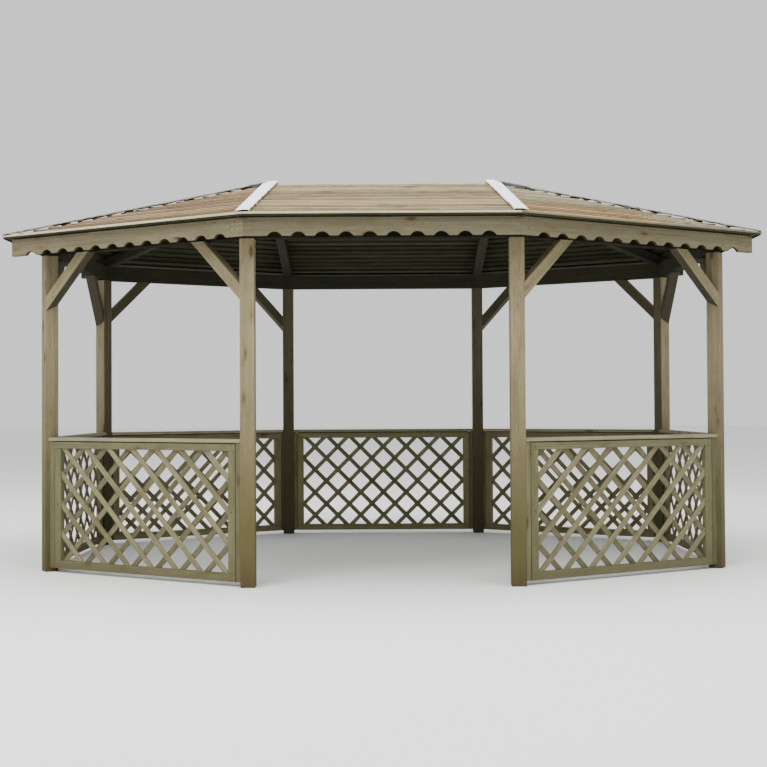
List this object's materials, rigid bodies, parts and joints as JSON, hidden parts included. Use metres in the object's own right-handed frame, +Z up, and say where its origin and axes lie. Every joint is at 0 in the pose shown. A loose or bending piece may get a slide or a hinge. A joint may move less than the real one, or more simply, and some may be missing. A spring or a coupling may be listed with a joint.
{
  "type": "garden gazebo",
  "caption": "Elongated octagonal open garden gazebo: square timber posts, lattice balustrades, braces, scalloped valance and a lapped board hip roof",
  "frame": {"origin": "on the ground, in the middle of the plan", "axes": "+X along the length to the right, -Y out through the entrance bay, +Z up"},
  "size_m": [5.0448, 3.92, 2.7865],
  "materials": {
    "posts": "weathered pressure treated softwood",
    "frame_timber": "weathered pressure treated softwood",
    "lattice_timber": "weathered pressure treated softwood, greener",
    "handrail_timber": "weathered pressure treated softwood",
    "roof_timber": "sawn softwood",
    "roof_boards": "weathered lapped boards",
    "valance_boards": "planed softwood",
    "flashing": "white coated folded strip"
  },
  "bodies": {
    "root": {"post_front_left": "posts", "post_front_right": "posts", "post_right_front": "posts", "post_right_back": "posts", "post_back_right": "posts", "post_back_left": "posts", "post_left_back": "posts", "post_left_front": "posts", "plate_front": "frame_timber", "plate_front_right": "frame_timber", "plate_right": "frame_timber", "plate_back_right": "frame_timber", "plate_back": "frame_timber", "plate_back_left": "frame_timber", "plate_left": "frame_timber", "plate_front_left": "frame_timber", "braces_left_end": "frame_timber", "braces_right_end": "frame_timber", "panel_front_right": "lattice_timber", "panel_right": "lattice_timber", "panel_back_right": "lattice_timber", "panel_back": "lattice_timber", "panel_back_left": "lattice_timber", "panel_left": "lattice_timber", "panel_front_left": "lattice_timber", "panel_cleats": "lattice_timber", "handrails_left_end": "handrail_timber", "handrails_right_end": "handrail_timber", "handrail_back": "handrail_timber", "hip_rafters_left": "roof_timber", "hip_rafters_right": "roof_timber", "rafter_hubs": "roof_timber", "ridge_beam": "roof_timber", "roof_front": "roof_boards", "roof_front_right": "roof_boards", "roof_right": "roof_boards", "roof_back_right": "roof_boards", "roof_back": "roof_boards", "roof_back_left": "roof_boards", "roof_left": "roof_boards", "roof_front_left": "roof_boards", "valance_front": "valance_boards", "valance_front_right": "valance_boards", "valance_front_left": "valance_boards", "hip_flashings_left": "flashing", "hip_flashings_right": "flashing"}
  },
  "joints": []
}
